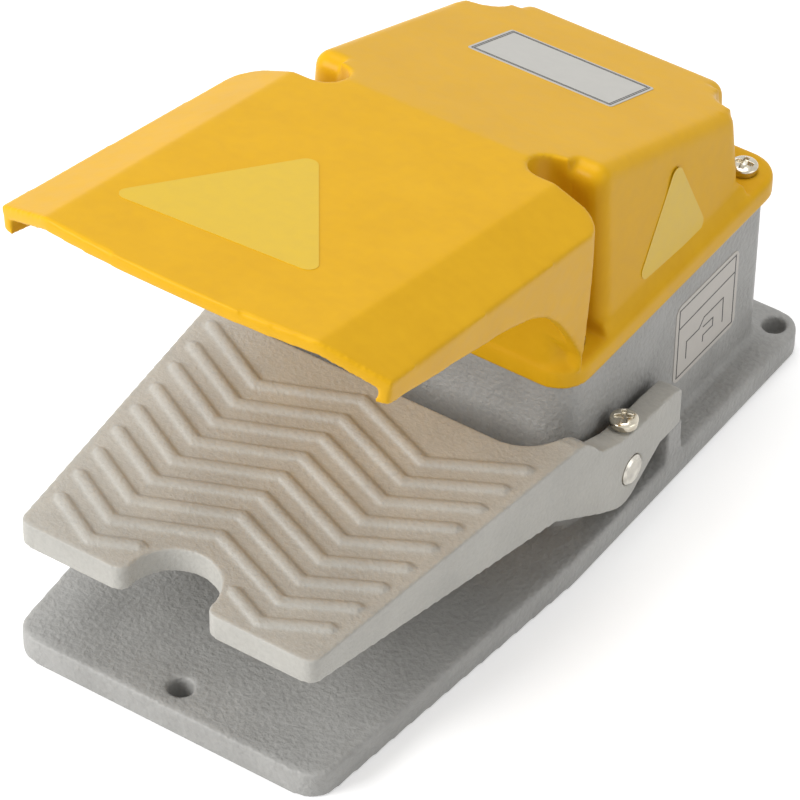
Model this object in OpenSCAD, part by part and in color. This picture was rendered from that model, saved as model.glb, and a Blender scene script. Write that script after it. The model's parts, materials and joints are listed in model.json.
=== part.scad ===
// Industrial foot switch with a guard hood: a cast base and housing, a cast cover,
// a fork pedal on a cross shaft, and a roller-lever snap switch worked from inside.
// X runs across, Y runs from the toe end to the cable end, Z is up.
// The origin is the middle of the base plate's underside.

/* [Base plate] */
// Length of the base plate from the toe edge to the cable edge
plate_len = 204; // [198:1:230]
// Width of the base plate along the housing
plate_w = 105; // [103:0.5:116]
// Width of the base plate at the toe edge
toe_w = 87.4; // [80:0.5:100]
// Distance over which the plate widens from the toe
taper_len = 96; // [70:1:104]
// Thickness of the base plate
plate_t = 7.6; // [6.5:0.1:10]
// Corner radius of the base plate
plate_corner_r = 7; // [4:0.5:9]
// Diameter of the three mounting holes
mount_hole_d = 6.2; // [4.5:0.1:7]
// Distance of the rear mounting holes from the side and rear edges
mount_inset = 6; // [5:0.1:6.5]
// Distance of the toe mounting hole from the toe edge
toe_hole_inset = 7.4; // [6:0.1:12]
// Depth of the cast pockets under the plate
pocket_depth = 3.6; // [2:0.1:4]
// Thickness of the ribs between the pockets
pocket_rib_t = 3; // [2:0.5:5]

/* [Housing] */
// Length of the housing
housing_len = 94.2; // [92:0.2:100]
// Width of the housing
housing_w = 87.9; // [85:0.1:88.4]
// Height of the housing above the plate
housing_h = 46; // [44:0.5:56]
// Wall thickness of the housing
housing_wall = 3.5; // [2.5:0.1:4.5]
// Outer corner radius of the housing
housing_corner_r = 7.5; // [6:0.5:9]
// Distance from the cable edge of the plate to the housing
housing_setback = 7.7; // [6:0.1:9]
// Height of the cast fillet where the housing stands on the plate
foot_fillet = 1.2; // [0.6:0.1:1.6]

/* [Pivot] */
// Diameter of the pivot shaft
shaft_d = 8; // [6:0.5:9]
// Height of the shaft axis above the plate
pivot_h = 11.4; // [11:0.1:14]
// Distance from the housing's front face to the shaft axis
pivot_setback = 17.8; // [16.5:0.1:20]
// How far the shaft stands out of each ear
shaft_proud = 0.5; // [0:0.1:1]
// Wall thickness of the shaft bushes
bush_wall = 1.5; // [1:0.1:2.5]
// Radial running clearance between shaft and bush
run_gap = 0.04; // [0.02:0.01:0.08]
// Radial clearance of parts that are seated in each other
seat_gap = 0.03; // [0.02:0.01:0.08]

/* [Pedal] */
// Height of the pedal's top above the plate
pedal_h = 35; // [32:0.5:40]
// Width of the pedal at its toe edge
pedal_toe_w = 82.8; // [76:0.2:90]
// Gap from the pedal's toe edge back to the plate's toe edge
pedal_toe_gap = 1.6; // [0:0.1:6]
// Thickness of the pedal's tread plate
tread_t = 4; // [3:0.1:6]
// Height of the pedal's rim at the toe
pedal_rim_h = 7; // [6:0.1:10]
// Thickness of the pedal's ears
ear_t = 6.2; // [5.6:0.1:7]
// Gap between the pedal's rear edge and the housing
heel_gap = 13.9; // [10:0.1:18]
// Radius of the notch in the toe edge
toe_notch_r = 11.4; // [6:0.1:14]
// Number of full zigzag ribs on the tread
rib_count = 8; // [2:1:8]
// Distance from one tread rib to the next
rib_pitch = 8.2; // [6:0.1:9]
// Width of a tread rib
rib_w = 3.3; // [2:0.1:4]
// Height of a tread rib
rib_h = 1; // [0.5:0.1:1.5]
// Pedal stroke in degrees
stroke = 10; // [4:0.5:11]

/* [Cover] */
// Thickness of the cover's walls
cover_wall = 3; // [2:0.1:3.6]
// Thickness of the gasket under the cover
gasket_t = 1; // [0.6:0.1:2]
// Height of the cover's flange above the gasket
flange_h = 4.2; // [3.5:0.1:7]
// How far the flange's lip hangs below the gasket's underside
lip_drop = 1; // [0.5:0.1:2]
// Thickness of the flange's lip
lip_t = 1.9; // [1.5:0.1:3]
// Height of the roof ridge above the flange
ridge_h = 50; // [44:0.5:60]
// Fall of the roof behind the ridge, per millimetre
roof_fall = 0.36; // [0.2:0.01:0.4]
// Edge radius of the cover's body
cover_edge_r = 4; // [3:0.5:6]
// Diameter of the cover, lock and terminal screws
screw_d = 4; // [3:0.5:4]

/* [Hood] */
// Reach of the hood in front of the ridge
hood_reach = 103; // [80:1:108]
// Rise of the hood towards the toe, per millimetre
hood_rise = 0.2; // [0.1:0.01:0.25]
// Half width of the hood's flat middle
hood_flat = 36.5; // [30:0.5:40]
// Fall of the hood's side facets
facet_fall = 6.4; // [4:0.1:8]
// Depth of the hood's skirts at the toe
skirt_h = 5.8; // [5:0.1:9]
// Draft of the skirts and legs, per millimetre of height
skirt_draft = 0.1; // [0.04:0.01:0.12]

/* [Switch] */
// Length of the switch case
switch_len = 49.2; // [48:0.1:51]
// Thickness of the switch case and its lid
switch_w = 17.4; // [15:0.1:19]
// Height of the switch case
switch_h = 24.2; // [23:0.1:27]
// Spacing of the switch's two mounting holes
switch_hole_pitch = 25.4; // [22:0.1:27]
// Diameter of the lever's roller
roller_d = 6; // [5:0.5:7]
// Wire diameter of the return spring
spring_wire = 1.1; // [0.8:0.1:1.4]
// Outer diameter of the return spring
spring_d = 9; // [8:0.5:10]

/* [Cable gland] */
// Bore of the gland for the cable
cable_d = 8; // [5:0.5:9]
// Thread diameter of the gland
gland_d = 16; // [14:0.5:18]

/* [Hidden] */
$fn = 48;
eps = 0.01;
BIG = 400;

// Plate and housing planes
toe_y = -plate_len / 2;
tail_y = plate_len / 2;
house_y1 = tail_y - housing_setback;
house_y0 = house_y1 - housing_len;
house_mid_y = (house_y0 + house_y1) / 2;
house_top = plate_t + housing_h;
wall_x = housing_w / 2;
inner_x = wall_x - housing_wall;
inner_y0 = house_y0 + housing_wall;
inner_y1 = house_y1 - housing_wall;
skin_t = plate_t - pocket_depth;

// Pivot
pivot_y = house_y0 + pivot_setback;
pivot_z = plate_t + pivot_h;
shaft_r = shaft_d / 2;
bush_r = shaft_r + run_gap + bush_wall;
boss_r = bush_r + 3;
boss_len = 6;
bush_flange_t = 1.2;
ear_x1 = plate_w / 2;
ear_x0 = ear_x1 - ear_t;
lock_x = (ear_x0 + ear_x1) / 2;

// Pedal planes
pedal_top = plate_t + pedal_h;
pedal_y0 = toe_y + pedal_toe_gap;
heel_y = house_y0 - heel_gap;
ear_top = pivot_z + 11.6;
ear_low = pivot_z - 8.8;
tail_len = 24;
stop_y = pivot_y + 20.6;
stop_len = 6.4;
stop_top = pivot_z - 0.6;

// Screws: pan heads
head_d = 1.8 * screw_d;
head_h = 0.65 * screw_d;
recess_w = 0.26 * screw_d;
post_r = screw_d / 2 + 2.6;
cover_screw_x = wall_x - 5.4;
cover_screw_y = [house_y0 + 9.3, house_y1 - 6];

// Cover planes
seat_z = house_top + gasket_t;
flange_top = seat_z + flange_h;
lip_gap = 0.3;
flange_x = wall_x + lip_gap + lip_t;
flange_y0 = house_y0 - lip_gap - lip_t;
flange_y1 = house_y1 + lip_gap + lip_t;
flange_r = housing_corner_r + 1.5;
lip_z = house_top - lip_drop;
ridge_z = flange_top + ridge_h;
shelf_inset = 2.4;
body_x = flange_x - shelf_inset;
body_lean = 2.6;
body_y0 = flange_y0 + 0.6;
body_y1 = flange_y1 - 2.2;
slot_r = 6.2;
slot_x = 26 + slot_r;
neck_y = cover_screw_y[0] - slot_r;
ridge_y = neck_y + 5.8;
notch_r = 8.2;
shelf_fillet = 3.2;

// Hood planes
hood_t = 3.8;
hood_y0 = ridge_y - hood_reach;
hood_toe_z = ridge_z + hood_rise * hood_reach;
hood_bow_r = 300;
hood_rear_r = 8;
leg_z0 = flange_top - 1;
leg_x0 = flange_x - 0.1;

// Switch and lever
switch_y0 = pivot_y + 6.1;
switch_y1 = switch_y0 + switch_len;
switch_mid_y = (switch_y0 + switch_y1) / 2;
switch_z0 = pivot_z + 15.5;
switch_z1 = switch_z0 + switch_h;
case_x0 = -switch_w / 2;
case_x1 = switch_w / 2;
lid_t = 3.8;
hinge_y = switch_y1 - 2.2;
hinge_z = switch_z0 - 3.5;
hinge_pin_d = 2;
plunger_y = hinge_y - 10;
plunger_d = 3.4;
lever_run = 31;
lever_tilt = 7.35;
plunger_tip_z = hinge_z - 10 * tan(lever_tilt) + 0.7;
plunger_len = 9.6;
roller_y = hinge_y - lever_run;
roller_z = hinge_z - lever_run * tan(lever_tilt);
roller_w = 4;
roller_pin_d = 1.6;
pad_gap = 0.3;
pad_z = roller_z - roller_d / 2 - pad_gap;
hub_r = shaft_r + 3.5;
hub_w = 16;
switch_hole_z = switch_z0 + 11.5;

// Bracket and spring
bracket_t = 2;
bracket_x0 = case_x1;
bracket_x1 = bracket_x0 + bracket_t;
foot_z = switch_z0 - 12.5;
foot_x1 = bracket_x1 + 19;
foot_y = [switch_mid_y + 5.4, switch_mid_y + 25.4];
foot_screw_x = bracket_x1 + 11.3;
spring_x = bracket_x1 + 6.8;
spring_y = pivot_y + 17;
spring_z0 = pivot_z + 3;
spring_z1 = switch_z0 + 5.5;
spring_turns = 6;

// Gland
gland_z = plate_t + 24.4;
gland_flange_af = gland_d + 4;
gland_nut_len = 12.5;

// ---------- shared shapes ----------

// Both halves of a mirrored pair
module both_sides() {
    children();
    mirror([1, 0, 0]) children();
}

// Rectangle with round corners between two Y values, centred on X
module round_rect(half_w, y0, y1, r) {
    for (x = [-half_w + r, half_w - r], y = [y0 + r, y1 - r]) translate([x, y]) circle(r);
    translate([-half_w + r, y0]) square([2 * (half_w - r), y1 - y0]);
    translate([-half_w, y0 + r]) square([2 * half_w, y1 - y0 - 2 * r]);
}

// Cylinder along X between two X values
module x_rod(x0, x1, r) {
    translate([x0, 0, 0]) rotate([0, 90, 0]) cylinder(h = x1 - x0, r = r);
}

// Cylinder along Y between two Y values
module y_rod(y0, y1, r) {
    translate([0, y0, 0]) rotate([-90, 0, 0]) cylinder(h = y1 - y0, r = r);
}

// Side profile in the Y-Z plane, extruded along X between two X values
module side_profile(x0, x1) {
    translate([x0, 0, 0]) rotate([90, 0, 90]) linear_extrude(x1 - x0) children();
}

// Pan-head screw with a cross recess; the underside of the head is at z = 0
module pan_screw(shank_len, d = screw_d) {
    scale_d = d / screw_d;
    difference() {
        union() {
            translate([0, 0, -shank_len]) cylinder(h = shank_len + eps, r = d / 2);
            intersection() {
                cylinder(h = head_h * scale_d, r = head_d * scale_d / 2);
                translate([0, 0, -head_d * scale_d * 0.55]) sphere(r = head_d * scale_d * 0.92);
            }
        }
        for (a = [0, 90]) rotate([0, 0, a])
            translate([-head_d * scale_d * 0.27, -recess_w * scale_d / 2, head_h * scale_d * 0.4])
                cube([head_d * scale_d * 0.54, recess_w * scale_d, head_h]);
    }
}

// ---------- base ----------

// Plan of the base plate: narrower at the toe, full width along the housing
module plate_outline(inset = 0) {
    half = plate_w / 2 - inset;
    toe_half = toe_w / 2 - inset;
    r = plate_corner_r - min(inset, plate_corner_r - 1);
    offset(r = r) offset(delta = -r)
        polygon([
            [-toe_half, toe_y + inset], [toe_half, toe_y + inset],
            [half, toe_y + taper_len], [half, tail_y - inset],
            [-half, tail_y - inset], [-half, toe_y + taper_len]
        ]);
}

rear_hole_x = plate_w / 2 - mount_inset;
rear_hole_y = tail_y - mount_inset;
toe_hole_y = toe_y + toe_hole_inset;
mount_holes = [[0, toe_hole_y], [-rear_hole_x, rear_hole_y], [rear_hole_x, rear_hole_y]];

// Pockets under the plate, between a rim, cross ribs and bosses
module pocket_plan() {
    rib_pitch_y = plate_len / 6;
    offset(r = 2) offset(delta = -2) difference() {
        plate_outline(5);
        for (i = [-3:3]) translate([-BIG / 2, i * rib_pitch_y - pocket_rib_t / 2])
            square([BIG, pocket_rib_t]);
        translate([-pocket_rib_t / 2, -BIG / 2]) square([pocket_rib_t, BIG]);
        circle(8);
        for (p = mount_holes) translate(p) circle(mount_hole_d / 2 + 4);
    }
}

// Posts that the cover screws run into
module cover_posts() {
    for (x = [-1, 1] * cover_screw_x, y = cover_screw_y)
        translate([x, y, skin_t]) cylinder(h = house_top - skin_t, r = post_r);
}

// Posts that carry the switch bracket
module bracket_posts() {
    for (y = foot_y) translate([foot_screw_x, y, skin_t]) cylinder(h = foot_z - skin_t, r = post_r);
}

// Rests for the pedal's ear tails, one on each side of the housing
module stop_posts() {
    both_sides() side_profile(wall_x - 1, ear_x1 - 0.3)
        polygon([
            [stop_y - stop_len / 2 - 0.5, plate_t - 1], [stop_y + stop_len / 2 + 0.5, plate_t - 1],
            [stop_y + stop_len / 2, stop_top], [stop_y - stop_len / 2, stop_top]
        ]);
}

earth_pos = [-inner_x + 14, inner_y1 - 14];
earth_boss_h = 5;

module base_housing() {
    color("#b4b4b0") difference() {
        union() {
            difference() {
                union() {
                    linear_extrude(plate_t) plate_outline();
                    translate([0, 0, plate_t - eps]) linear_extrude(housing_h + eps)
                        round_rect(wall_x, house_y0, house_y1, housing_corner_r);
                    // cast fillet at the foot of the housing
                    hull() {
                        translate([0, 0, plate_t - 1]) linear_extrude(1 + eps)
                            round_rect(wall_x + foot_fillet, house_y0 - foot_fillet,
                                       house_y1 + foot_fillet, housing_corner_r + foot_fillet);
                        translate([0, 0, plate_t]) linear_extrude(foot_fillet)
                            round_rect(wall_x, house_y0, house_y1, housing_corner_r);
                    }
                }
                translate([0, 0, plate_t]) linear_extrude(housing_h + 1)
                    round_rect(inner_x, inner_y0, inner_y1, housing_corner_r - housing_wall);
                translate([0, 0, -1]) linear_extrude(pocket_depth + 1) pocket_plan();
            }
            cover_posts();
            bracket_posts();
            stop_posts();
            both_sides() translate([0, pivot_y, pivot_z])
                x_rod(inner_x - boss_len, inner_x + 1, boss_r);
            translate([earth_pos[0], earth_pos[1], skin_t])
                cylinder(h = plate_t + earth_boss_h - skin_t, r = post_r);
        }
        for (p = mount_holes) translate([p[0], p[1], -1])
            cylinder(h = plate_t + 2, d = mount_hole_d);
        for (x = [-1, 1] * cover_screw_x, y = cover_screw_y)
            translate([x, y, house_top - 14]) cylinder(h = 15, r = screw_d / 2 + seat_gap);
        for (y = foot_y) translate([foot_screw_x, y, foot_z - 9])
            cylinder(h = 10, r = screw_d / 2 + seat_gap);
        translate([earth_pos[0], earth_pos[1], plate_t + earth_boss_h - 7])
            cylinder(h = 8, r = screw_d / 2 + seat_gap);
        both_sides() translate([0, pivot_y, pivot_z])
            x_rod(inner_x - boss_len - 1, wall_x + 1, bush_r + seat_gap);
        translate([0, 0, gland_z]) y_rod(inner_y1 - 1, house_y1 + 1, gland_d / 2 + seat_gap);
    }
}

// Flanged bushes, pressed in from outside
module shaft_bushes() {
    color("#a8874f") both_sides() translate([0, pivot_y, pivot_z]) difference() {
        union() {
            x_rod(inner_x - boss_len, wall_x + eps, bush_r);
            x_rod(wall_x, wall_x + bush_flange_t, bush_r + 2);
        }
        x_rod(inner_x - boss_len - 1, wall_x + bush_flange_t + 1, shaft_r + run_gap);
    }
}

module earth_screw() {
    color("#b59b54") translate([earth_pos[0], earth_pos[1], plate_t + earth_boss_h])
        pan_screw(6);
}

// ---------- cover ----------

// Height of the roof's middle above a Y value
function roof_z(y) = y < ridge_y ? ridge_z + hood_rise * (ridge_y - y)
                                 : ridge_z - roof_fall * (y - ridge_y);

// Half width of the hood's drafted sides at a height
function skirt_x(z) = leg_x0 + skirt_draft * (z - leg_z0);

module gasket_plan(grow) {
    round_rect(wall_x - grow, house_y0 + grow, house_y1 - grow, housing_corner_r - grow);
}

module cover_gasket() {
    color("#2b2b2b") translate([0, 0, house_top]) linear_extrude(gasket_t) difference() {
        union() {
            difference() {
                gasket_plan(0.2);
                gasket_plan(housing_wall);
            }
            for (x = [-1, 1] * cover_screw_x, y = cover_screw_y) translate([x, y]) circle(post_r);
        }
        for (x = [-1, 1] * cover_screw_x, y = cover_screw_y)
            translate([x, y]) circle(screw_d / 2 + 0.2);
    }
}

// Closed body of the cover under its sloping roof, brought in by inset
module cover_body(inset) {
    x_top = body_x - body_lean - inset;
    y_top = body_y1 - 1 - inset;
    hull() {
        translate([0, 0, seat_z]) linear_extrude(1)
            round_rect(body_x - inset, body_y0 + inset, body_y1 - inset, flange_r - inset,
                       $fn = 32);
        for (x = [-1, 1] * x_top) {
            translate([x, y_top, roof_z(y_top) - inset]) cube(eps, center = true);
            translate([x, ridge_y, ridge_z - inset]) cube(eps, center = true);
            translate([x, body_y0 + inset, roof_z(body_y0 + inset) - inset])
                cube(eps, center = true);
        }
    }
}

// Plan of the channels above the four cover screws
module channel_plan() {
    both_sides() {
        translate([slot_x, cover_screw_y[0]]) circle(slot_r);
        translate([slot_x, cover_screw_y[0] - slot_r]) square([BIG / 4, 2 * slot_r]);
        translate([cover_screw_x, cover_screw_y[1]]) {
            circle(notch_r);
            translate([0, -notch_r]) square([BIG / 4, 2 * notch_r]);
            translate([-notch_r, 0]) square([2 * notch_r, BIG / 4]);
        }
    }
}

// Block of the body with rounded edges, as wide as half_w at its foot
module rounded_block(half_w, y0, y1, lean) {
    r = cover_edge_r;
    hull() {
        translate([0, 0, seat_z]) linear_extrude(1) round_rect(half_w, y0, y1, r, $fn = 32);
        for (x = [-1, 1] * (half_w - lean - r), y = [y0 + r + 0.4, y1 - r - 0.4])
            translate([x, y, roof_z(y) - r / cos(atan(roof_fall))]) sphere(r, $fn = 32);
    }
}

// Body between the channels: a wide block, a narrower one behind it and the neck in front
module channelled_body() {
    main_y0 = neck_y + 2 * slot_r;
    main_y1 = cover_screw_y[1] - notch_r;
    rear_x = cover_screw_x - notch_r;
    rounded_block(body_x, main_y0, main_y1, body_lean);
    rounded_block(rear_x, main_y1 - 30, body_y1, 0.6);
    intersection() {
        cover_body(0);
        union() {
            translate([-plate_w, body_y0 - 1, 0]) cube([2 * plate_w, neck_y + 1 - body_y0, BIG]);
            translate([-slot_x, body_y0, 0]) cube([2 * slot_x, main_y0 + 5 - body_y0, BIG]);
            translate([-cover_screw_x, main_y1 - 5, 0])
                cube([2 * cover_screw_x, notch_r + 5, BIG]);
        }
    }
}

// Cross-section of the hood's roof: a flat middle with a falling facet on each side
module hood_section(drop) {
    half = plate_w;
    slope = facet_fall / (skirt_x(hood_toe_z) - hood_flat);
    polygon([
        [-half, -drop - slope * (half - hood_flat)], [-half, -BIG], [half, -BIG],
        [half, -drop - slope * (half - hood_flat)], [hood_flat, -drop], [-hood_flat, -drop]
    ]);
}

// Everything under the hood's roof, lowered by drop
module under_hood(drop) {
    tilt = atan(hood_rise);
    translate([0, ridge_y, ridge_z]) rotate([90 - tilt, 0, 0])
        translate([0, 0, -BIG / 2]) linear_extrude(BIG) hood_section(drop);
}

// Everything under the falling roof behind the ridge
module under_roof() {
    side_profile(-BIG / 4, BIG / 4) polygon([
        [ridge_y - BIG, ridge_z + roof_fall * BIG], [ridge_y + BIG, ridge_z - roof_fall * BIG],
        [ridge_y + BIG, -BIG], [ridge_y - BIG, -BIG]
    ]);
}

// Drafted block between the hood's two sides, brought in by inset
module skirt_block(inset) {
    z0 = leg_z0 - 1;
    z1 = hood_toe_z + 10;
    rotate([90, 0, 0]) translate([0, 0, -BIG / 2]) linear_extrude(BIG)
        polygon([
            [-skirt_x(z0) + inset, z0], [skirt_x(z0) - inset, z0],
            [skirt_x(z1) - inset, z1], [-skirt_x(z1) + inset, z1]
        ]);
}

// Plan of the hood: a bowed toe edge with swept corners, brought in by inset
module hood_plan(inset) {
    y0 = hood_y0 + inset;
    half = skirt_x(hood_toe_z);
    bow = [for (i = [-6:6]) let (x = i * hood_flat / 6) [x, y0 + x * x / (2 * hood_bow_r)]];
    sweep = y0 + hood_flat * hood_flat / (2 * hood_bow_r) + 0.3 * (half - hood_flat);
    rear_x = skirt_x(ridge_z - 3);
    rear = [for (a = [0:10:90])
        [rear_x - hood_rear_r * (1 - cos(a)), neck_y - hood_rear_r * (1 - sin(a)) - inset]];
    side = [[half, sweep], [half + 2, sweep + 1.2], [half + 2, neck_y - 45],
            [rear_x + 0.8, neck_y - 16]];
    right = concat(side, rear);
    left = [for (i = [len(right) - 1:-1:0]) [-right[i][0], right[i][1]]];
    polygon(concat(left, bow, right));
}

// Side view of the hood: the skirt's lower edge runs back into an arch and a leg
module hood_side_view() {
    y_front = hood_y0 - 1;
    low_fall = 1.45 * hood_rise;
    leg_fall = 1.62;
    from = [neck_y - 50, skirt_low(neck_y - 50)];
    to = [neck_y - 1.4, flange_top + 4.4];
    bend_y = (from[1] - to[1] + low_fall * from[0] - leg_fall * to[0]) / (low_fall - leg_fall);
    bend = [bend_y, from[1] - low_fall * (bend_y - from[0])];
    pull = 2;
    curve = [for (t = [0:0.0625:1])
        let (a = (1 - t) * (1 - t), b = 2 * pull * t * (1 - t), c = t * t)
        (a * from + b * bend + c * to) / (a + b + c)];
    polygon(concat(
        [[y_front, BIG / 2], [y_front, skirt_low(y_front)]], curve,
        [[to[0], leg_z0], [neck_y + 1, leg_z0], [neck_y + 1, BIG / 2]]
    ));
}

// Height of the skirt's straight lower edge at a Y value
function skirt_low(y) = hood_toe_z - facet_fall - skirt_h - 1.45 * hood_rise * (y - hood_y0);

module hood_outer() {
    intersection() {
        under_hood(0);
        skirt_block(0);
        translate([0, 0, leg_z0]) linear_extrude(BIG / 2) hood_plan(0);
        side_profile(-BIG / 4, BIG / 4) hood_side_view();
    }
}

module hood_inner() {
    intersection() {
        under_hood(hood_t);
        skirt_block(3);
        translate([0, 0, -BIG / 4]) linear_extrude(BIG) hood_plan(-BIG / 8);
        translate([-BIG / 4, hood_y0 - 5, -BIG / 4]) cube([BIG / 2, body_y0 - hood_y0 + 5, BIG]);
    }
}

module cover() {
    color("#e2ae3a") difference() {
        union() {
            // flange with its shelf, then the body
            translate([0, 0, seat_z]) linear_extrude(flange_h - 0.8)
                round_rect(flange_x, flange_y0, flange_y1, flange_r);
            hull() {
                translate([0, 0, flange_top - 1]) linear_extrude(0.2)
                    round_rect(flange_x, flange_y0, flange_y1, flange_r);
                translate([0, 0, flange_top - eps]) linear_extrude(eps)
                    round_rect(flange_x - 0.8, flange_y0 + 0.8, flange_y1 - 0.8, flange_r - 0.8);
            }
            intersection() {
                union() {
                    channelled_body();
                    // sloping shelf between flange and body
                    hull() {
                        translate([0, 0, flange_top - 1]) linear_extrude(1)
                            round_rect(flange_x - 0.9, flange_y0 + 0.9, flange_y1 - 0.9,
                                       flange_r - 0.9);
                        translate([0, 0, flange_top + shelf_fillet - 1]) linear_extrude(1)
                            round_rect(body_x - 0.2, body_y0, body_y1 - 0.2, flange_r);
                    }
                }
                under_roof();
                under_hood(0);
                difference() {
                    translate([-BIG / 2, -BIG / 2, seat_z]) cube(BIG);
                    translate([0, 0, flange_top]) linear_extrude(BIG / 2) channel_plan();
                }
            }
            difference() {
                hood_outer();
                hood_inner();
            }
            translate([0, 0, lip_z]) linear_extrude(seat_z - lip_z + 1) difference() {
                round_rect(flange_x, flange_y0, flange_y1, flange_r);
                round_rect(wall_x + lip_gap, house_y0 - lip_gap, house_y1 + lip_gap,
                           housing_corner_r + lip_gap);
            }
        }
        difference() {
            intersection() {
                cover_body(cover_wall);
                translate([0, 0, -cover_wall]) under_roof();
                under_hood(cover_wall + 1);
            }
            translate([0, 0, flange_top - cover_wall]) linear_extrude(BIG / 2)
                offset(r = cover_wall) channel_plan();
        }
        for (x = [-1, 1] * cover_screw_x, y = cover_screw_y)
            translate([x, y, lip_z - 1]) cylinder(h = flange_top, r = screw_d / 2 + 0.2);
    }
}

module cover_screws() {
    color("#b59b54") for (x = [-1, 1] * cover_screw_x, y = cover_screw_y)
        translate([x, y, flange_top]) pan_screw(flange_h + gasket_t + 10);
}

// ---------- pedal ----------

// Half width of the pedal at a Y value
function pedal_half(y) =
    let (full_y = house_y0 + 3) y > full_y ? ear_x1
    : pedal_toe_w / 2 + (ear_x1 - pedal_toe_w / 2) * (y - pedal_y0) / (full_y - pedal_y0);

// Plan of the whole fork: tread, side walls and ears
module fork_plan() {
    full_y = house_y0 + 3;
    tail = pivot_y + tail_len;
    corner_r = 13;
    difference() {
        offset(r = 3) offset(delta = -3) polygon([
            [-pedal_toe_w / 2, pedal_y0], [pedal_toe_w / 2, pedal_y0],
            [ear_x1, full_y], [ear_x1, tail], [-ear_x1, tail], [-ear_x1, full_y]
        ]);
        round_rect(ear_x0, heel_y, tail + 60, corner_r);
        offset(r = -3) offset(delta = 3) {
            translate([0, pedal_y0 + 3.2]) circle(toe_notch_r);
            translate([-toe_notch_r, pedal_y0 - 20]) square([2 * toe_notch_r, 23.2]);
            translate([-BIG / 2, pedal_y0 - 24]) square([BIG, 24]);
        }
    }
}

// Side view of the pedal: flat tread, falling lower edge, ear and tail
module pedal_side_view() {
    ear_r = -ear_low + pivot_z;
    full_y = house_y0 + 3;
    tail = pivot_y + tail_len;
    lobe = [for (a = [-122:8:-50]) [pivot_y - 3 + ear_r * cos(a), pivot_z + ear_r * sin(a)]];
    polygon(concat(
        [[pedal_y0 - 1, pedal_top], [pedal_y0 - 1, pedal_top - pedal_rim_h],
         [pedal_y0 + 2, pedal_top - pedal_rim_h], [heel_y, pivot_z + 5.8]],
        lobe,
        [[pivot_y + 13, stop_top], [tail, stop_top], [tail, ear_top - 3.6],
         [tail - 3, ear_top - 1], [tail - 6.5, ear_top - 0.4],
         [pivot_y + 2.5, ear_top + 0.4], [pivot_y - 6, ear_top + 1.6],
         [full_y + 0.6, ear_top + 4.6], [full_y - 3.6, pedal_top - 2.6],
         [full_y - 6, pedal_top - 0.7], [full_y - 9, pedal_top]]
    ));
}

// Rim under the tread: the fork's outline less the same outline drawn in
module rim_plan(t) {
    difference() {
        fork_plan();
        offset(delta = -t) fork_plan();
    }
}

// Points of one zigzag rib, from the left end to the right end, on one side of the notch or across
function rib_valley_y(i) = pedal_y0 + 4.4 + i * rib_pitch;
function rib_outer_x(y) = pedal_half(y) - 4.6;
function rib_points(i) =
    let (v = rib_valley_y(i), vx = pedal_toe_w * 0.288, ox = rib_outer_x(v + 11),
         outer = [ox, v + 0.53 * (ox - vx)], valley = [vx, v], crest = [0, v + 0.415 * vx])
    [[-outer[0], outer[1]], [-vx, v], crest, valley, outer];
function half_rib_points() =
    let (v = rib_valley_y(0), vx = pedal_toe_w * 0.288, ox = rib_outer_x(v + 8),
         ix = toe_notch_r + 1.7)
    [[ix, v + 0.45 * (vx - ix)], [vx, v], [ox, v + 0.53 * (ox - vx)]];

function unit(v) = v / norm(v);
function left_of(v) = [-v[1], v[0]];

// Direction and stretch of a path's cross-section at point i, mitred at the bends
function mitre(path, i) =
    let (n = len(path),
         a = i > 0 ? left_of(unit(path[i] - path[i - 1])) : left_of(unit(path[1] - path[0])),
         b = i < n - 1 ? left_of(unit(path[i + 1] - path[i])) : a,
         m = unit(a + b))
    m / (m * a);

// A rib with a rounded back, swept along a path on the tread, its ends drawn in
module tread_rib(path) {
    steps = 6;
    n = len(path);
    sink = 0.4;
    angles = [for (k = [0:steps]) 180 * k / steps];
    section = concat([[rib_w / 2, -sink]],
        [for (a = angles) [rib_w / 2 * cos(a), rib_h * sin(a)]], [[-rib_w / 2, -sink]]);
    m = len(section);
    ends = concat(
        [path[0] - unit(path[1] - path[0]) * rib_w * 0.45], path,
        [path[n - 1] + unit(path[n - 1] - path[n - 2]) * rib_w * 0.45]);
    shrink = [for (i = [0:n + 1]) i == 0 || i == n + 1 ? 0.35 : 1];
    points = [for (i = [0:n + 1], s = section)
        let (c = ends[i], w = mitre(ends, i) * s[0] * shrink[i])
        [c[0] + w[0], c[1] + w[1], pedal_top + (s[1] > 0 ? s[1] * shrink[i] : s[1])]];
    rings = n + 2;
    sides = [for (i = [0:rings - 2], j = [0:m - 1]) let (k = (j + 1) % m)
        [(i + 1) * m + j, (i + 1) * m + k, i * m + k, i * m + j]];
    polyhedron(points, concat(
        [[for (j = [0:m - 1]) j]], sides, [[for (j = [m - 1:-1:0]) (rings - 1) * m + j]]));
}

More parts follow.
